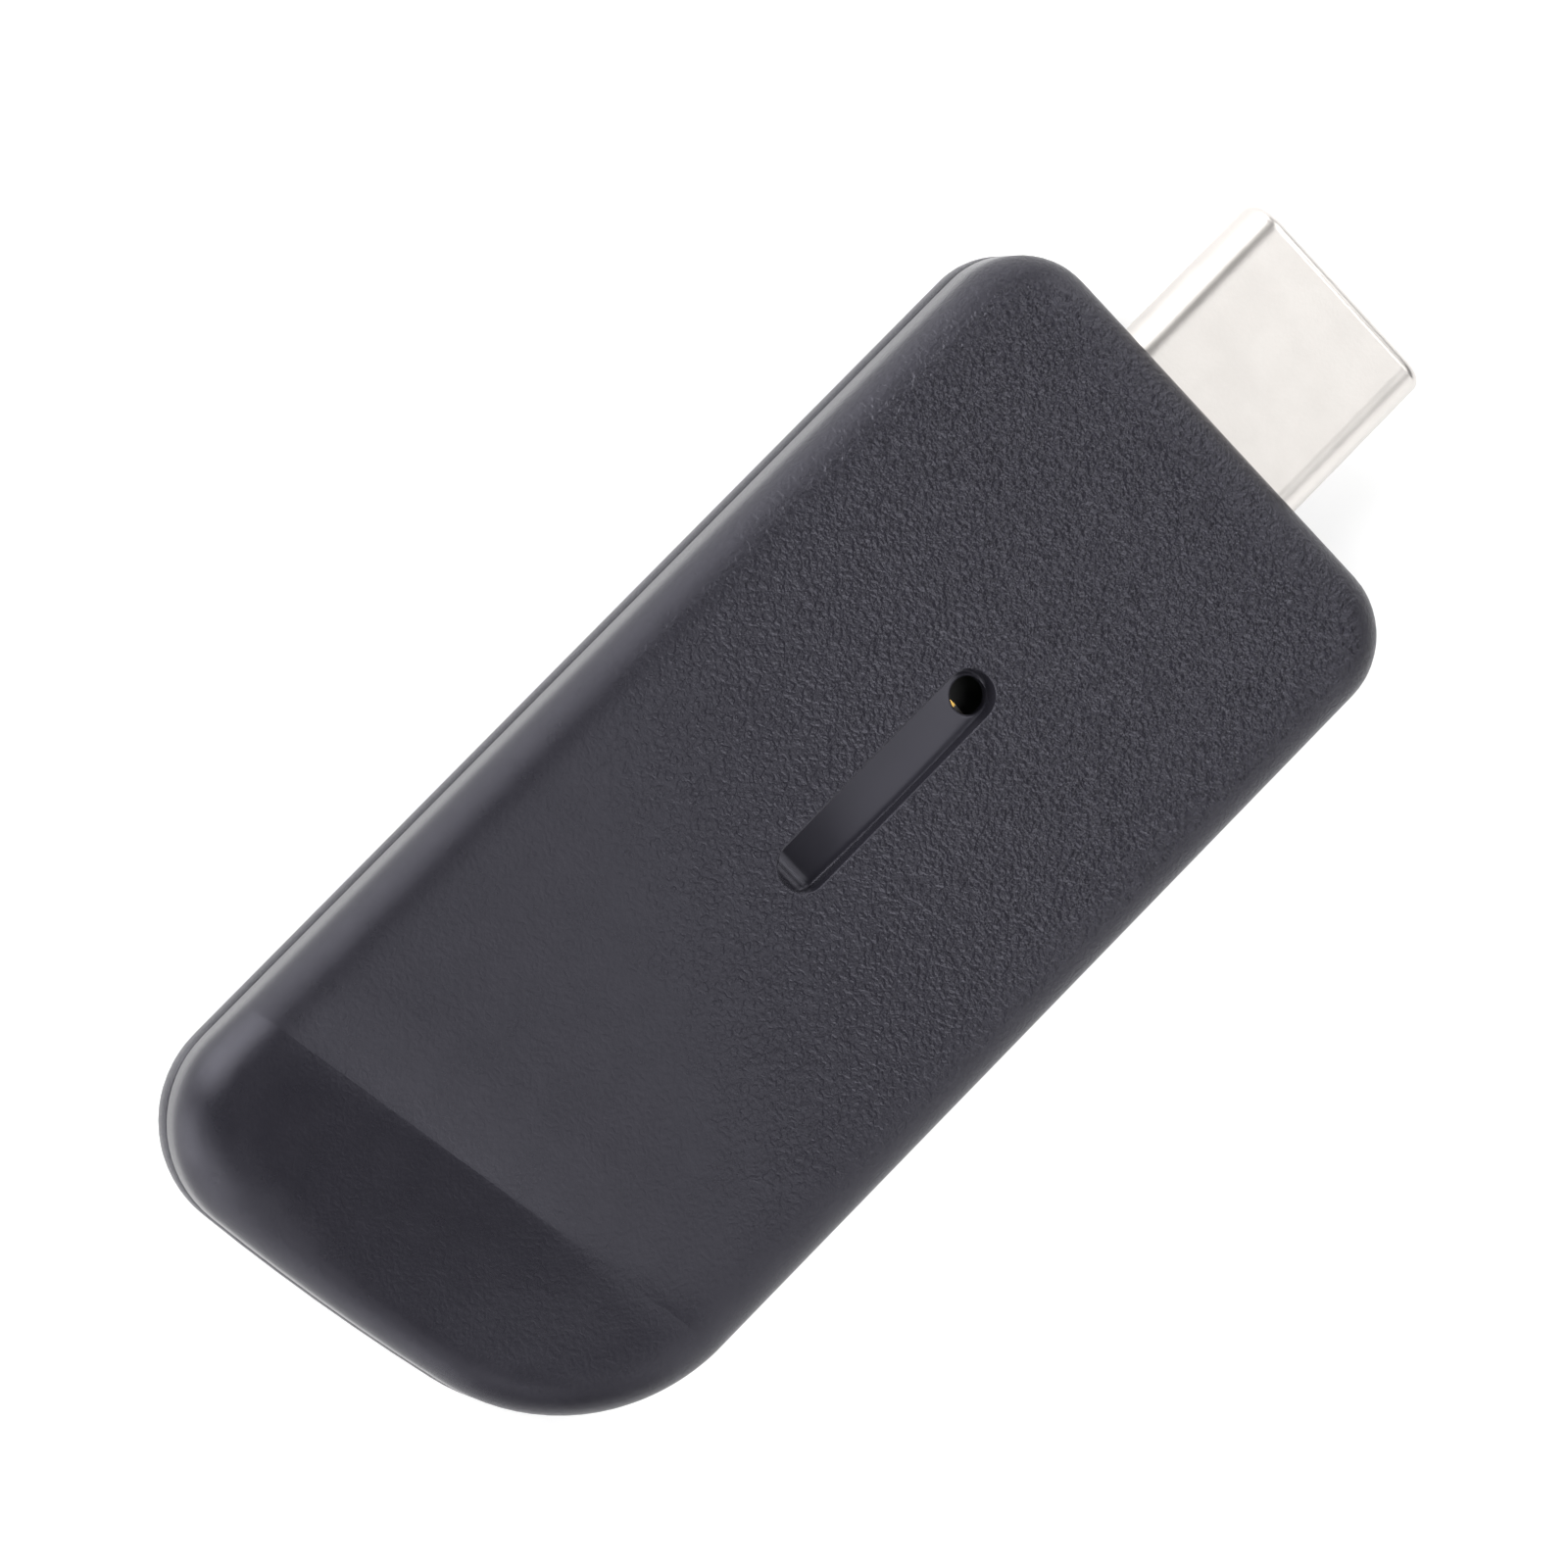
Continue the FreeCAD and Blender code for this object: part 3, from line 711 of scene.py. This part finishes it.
@dataclass
class Plug:
    """The plug: shell, insulator, contacts, latches and ground springs."""

    contacts: tuple[str, ...] = ("upper_contacts", "lower_contacts")
    springs: tuple[str, ...] = ("latch_frame", "upper_ground_spring", "lower_ground_spring")

    def build(self) -> None:
        """Dress the plug's pieces."""
        dress(("plug_shell",), SHELL_NICKEL)
        dress(("contact_housing",), INSULATOR_LCP)
        dress(self.contacts, CONTACT_GOLD)
        dress(self.springs, SPRING_STEEL)


@dataclass
class Board:
    """The circuit board with what is soldered on it."""

    chips: tuple[str, ...] = (
        "radio_chip", "memory_chip", "voltage_regulator", "resistors", "inductors", "esd_diodes",
    )
    tinned: tuple[str, ...] = (
        "shield_frame", "shield_lid", "regulator_leads", "crystal",
        "antenna_ends", "capacitor_ends", "resistor_ends",
    )

    def build(self) -> None:
        """Dress the board and its parts."""
        dress(("circuit_board",), BOARD_MASK)
        dress(self.chips, CHIP_EPOXY)
        dress(self.tinned, TIN_PLATE)
        dress(("chip_antenna", "capacitors"), FIRED_CERAMIC)
        dress(("indicator_led",), LED_EPOXY)
        dress(("led_frame", "test_pads"), CONTACT_GOLD)


@dataclass
class SolderJoints:
    """Solder at the foot of each soldered end, with a concave skirt; sizes in millimetres."""

    ends: tuple[str, ...] = ("capacitor_ends", "resistor_ends", "antenna_ends", "regulator_leads")
    reach: float = 0.12
    climb: float = 0.6
    corner: float = 0.06
    corner_segments: int = 3
    levels: int = 6
    lap: float = 0.004
    smooth_limit: float = 50.0

    def feet(self, name: str) -> list[tuple[Vector, Vector]]:
        """Find the separate ends of a node.

        Args:
            name: The node's name.

        Returns:
            Lowest and highest corner of each end, in metres.
        """
        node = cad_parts[name]
        mesh = bmesh.new()
        mesh.from_mesh(node.data)
        mesh.transform(node.matrix_world)
        bmesh.ops.remove_doubles(mesh, verts=mesh.verts, dist=WELD)
        left, boxes = set(mesh.verts), []
        while left:
            island, edge = [], [left.pop()]
            while edge:
                vertex = edge.pop()
                island.append(vertex.co.copy())
                for near in {other for link in vertex.link_edges for other in link.verts} & left:
                    left.remove(near)
                    edge.append(near)
            boxes.append(
                (
                    Vector(min(point[axis] for point in island) for axis in range(3)),
                    Vector(max(point[axis] for point in island) for axis in range(3)),
                )
            )
        mesh.free()
        return sorted(boxes, key=lambda box: tuple(box[0]))

    def add_skirt(self, mesh: bmesh.types.BMesh, low: Vector, high: Vector) -> None:
        """Add the solder round one end: a rounded foot drawn up to the end in a hollow curve.

        Args:
            mesh: The mesh that gets the solder.
            low: Lowest corner of the end.
            high: Highest corner of the end.
        """
        middle, size = (low + high) / 2, high - low
        reach = self.reach * MM
        foot = Matrix.Translation((middle.x, middle.y, low.z))
        stretch = Matrix.Diagonal((size.x + 2 * reach, size.y + 2 * reach, 1.0, 1.0))
        base = bmesh.ops.create_grid(
            mesh, x_segments=1, y_segments=1, size=0.5, matrix=foot @ stretch
        )
        rounded = bmesh.ops.bevel(
            mesh,
            geom=base["verts"],
            offset=self.corner * MM,
            affect="VERTICES",
            segments=self.corner_segments,
            profile=0.5,
            material=-1,
        )
        top = max(rounded["faces"] or list(mesh.faces)[-1:], key=lambda face: face.calc_area())
        spread, height = reach, 0.0
        for level in range(1, self.levels + 1):
            turn = math.pi / 2 * level / self.levels
            raised = bmesh.ops.extrude_face_region(mesh, geom=[top])
            if level > 1:
                bmesh.ops.delete(mesh, geom=[top], context="FACES_ONLY")
            top = next(item for item in raised["geom"] if isinstance(item, bmesh.types.BMFace))
            next_spread = reach * (1 - math.sin(turn)) + self.lap * MM
            next_height = size.z * self.climb * (1 - math.cos(turn))
            shrink = Vector(
                ((size[axis] + 2 * next_spread) / (size[axis] + 2 * spread) for axis in range(2))
            ).to_3d() + Vector((0.0, 0.0, 1.0))
            bmesh.ops.scale(mesh, vec=shrink, space=foot.inverted(), verts=top.verts)
            bmesh.ops.translate(mesh, vec=(0.0, 0.0, next_height - height), verts=top.verts)
            spread, height = next_spread, next_height

    def build(self) -> bpy.types.Object:
        """Make all the joints as one piece.

        Returns:
            The solder's object.
        """
        mesh = bmesh.new()
        for name in self.ends:
            for low, high in self.feet(name):
                self.add_skirt(mesh, low, high)
        bmesh.ops.recalc_face_normals(mesh, faces=mesh.faces)
        data = bpy.data.meshes.new("solder_joints")
        mesh.to_mesh(data)
        mesh.free()
        piece = bpy.data.objects.new("solder_joints", data)
        bpy.context.scene.collection.objects.link(piece)
        data.materials.append(SOLDER.build())
        smooth_by_angle(piece, self.smooth_limit)
        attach(piece, "root")
        LOG.info("%s: %d faces, %s", piece.name, len(data.polygons), SOLDER.name)
        return piece


@dataclass(frozen=True)
class SoftBox:
    """A square diffused lamp that faces the part; sizes in millimetres, angles in degrees."""

    name: str
    azimuth: float
    elevation: float
    watts: float
    size: float = 340.0
    distance: float = 600.0

    def hang(self, aim: Vector) -> bpy.types.Object:
        """Make the lamp.

        Args:
            aim: The point that it faces, in metres.

        Returns:
            The lamp's object.
        """
        turn, lift = math.radians(self.azimuth), math.radians(self.elevation)
        reach = math.cos(lift)
        towards = Vector((reach * math.cos(turn), reach * math.sin(turn), math.sin(lift)))
        data = bpy.data.lights.new(self.name, "AREA")
        data.shape = "SQUARE"
        data.size = self.size * MM
        data.energy = self.watts
        lamp = bpy.data.objects.new(self.name, data)
        place = Matrix.Translation(aim + towards * self.distance * MM)
        lamp.matrix_world = place @ towards.to_track_quat("Z", "Y").to_matrix().to_4x4()
        lamp.visible_camera = False
        bpy.context.scene.collection.objects.link(lamp)
        return lamp


@dataclass
class Studio:
    """A light table in a pale tent, soft boxes, and the photograph's camera; in millimetres."""

    floor_level: float = -2.75
    floor_size: float = 4000.0
    aim: tuple[float, float, float] = (-20.0, 0.0, 0.0)
    camera_place: tuple[float, float, float] = (-72.87, 70.54, 310.13)
    camera_right: tuple[float, float, float] = (0.69047, -0.67083, 0.27063)
    camera_up: tuple[float, float, float] = (0.70322, 0.71017, -0.03383)
    lens: float = 227.88
    sensor: float = 36.0
    nearest_seen: float = 10.0
    farthest_seen: float = 10000.0
    tent: float = 0.05
    boxes: tuple[SoftBox, ...] = (
        SoftBox("over_front_right", 305.0, 75.0, 0.132, size=160.0),
        SoftBox("high_front_right", 335.0, 60.0, 0.17, size=200.0),
        SoftBox("high_front", 0.0, 60.0, 0.5, size=200.0),
        SoftBox("left", 75.0, 38.0, 0.45, size=240.0),
        SoftBox("left_rear", 105.0, 45.0, 1.1, size=240.0),
        SoftBox("rear", 180.0, 45.0, 0.926, size=240.0),
        SoftBox("rear_right", 225.0, 45.0, 0.298, size=240.0),
        SoftBox("right", 270.0, 45.0, 0.416, size=240.0),
        SoftBox("front_right", 315.0, 45.0, 0.442, size=240.0),
        SoftBox("lower_left_rear", 105.0, 28.0, 1.648, size=240.0),
        SoftBox("lower_front", 0.0, 28.0, 0.794, size=240.0),
        SoftBox("low_front_left", 45.0, 13.0, 1.1),
        SoftBox("low_left", 80.0, 13.0, 0.9),
        SoftBox("low_rear_left", 150.0, 13.0, 2.0),
        SoftBox("low_rear", 190.0, 13.0, 1.0),
        SoftBox("low_right", 280.0, 13.0, 0.58),
    )

    def lay_floor(self) -> bpy.types.Object:
        """Lay the light table's sheet under the part.

        Returns:
            The floor object.
        """
        mesh = bmesh.new()
        bmesh.ops.create_grid(mesh, x_segments=1, y_segments=1, size=self.floor_size * MM / 2)
        bmesh.ops.translate(mesh, verts=mesh.verts, vec=(0, 0, self.floor_level * MM))
        data = bpy.data.meshes.new("floor")
        mesh.to_mesh(data)
        mesh.free()
        piece = bpy.data.objects.new("floor", data)
        bpy.context.scene.collection.objects.link(piece)
        data.materials.append(TABLE_ACRYLIC.build())
        return piece

    def set_camera(self) -> bpy.types.Object:
        """Set the camera where the photograph was taken.

        Returns:
            The camera object.
        """
        right = Vector(self.camera_right).normalized()
        up = Vector(self.camera_up)
        up = (up - right * up.dot(right)).normalized()
        data = bpy.data.cameras.new("photo_camera")
        data.lens = self.lens
        data.sensor_width = self.sensor
        data.clip_start = self.nearest_seen * MM
        data.clip_end = self.farthest_seen * MM
        camera = bpy.data.objects.new("photo_camera", data)
        turn = Matrix((right, up, right.cross(up))).transposed().to_4x4()
        camera.matrix_world = Matrix.Translation(Vector(self.camera_place) * MM) @ turn
        bpy.context.scene.collection.objects.link(camera)
        bpy.context.scene.camera = camera
        return camera

    def raise_tent(self) -> None:
        """Surround the part with a pale, evenly lit tent."""
        world = bpy.data.worlds.new("pale_tent")
        world.use_nodes = True
        tree = world.node_tree
        tree.nodes.clear()
        white = {"Color": (1.0, 1.0, 1.0, 1.0), "Strength": self.tent}
        glow = add_node(tree, "ShaderNodeBackground", white)
        add_node(tree, "ShaderNodeOutputWorld", {"Surface": glow.outputs["Background"]})
        bpy.context.scene.world = world

    def build(self) -> None:
        """Put floor, light and camera in place."""
        self.lay_floor()
        self.raise_tent()
        for box in self.boxes:
            box.hang(Vector(self.aim) * MM)
        self.set_camera()
        bpy.context.scene.view_settings.view_transform = "Standard"


def main() -> None:
    """Build and dress the part, then set up the studio."""
    logging.basicConfig(level=logging.INFO, format="%(name)s: %(message)s")
    for assembly in (Housing(), Plug(), Board(), SolderJoints(), Studio()):
        assembly.build()


if __name__ == "__main__":
    main()
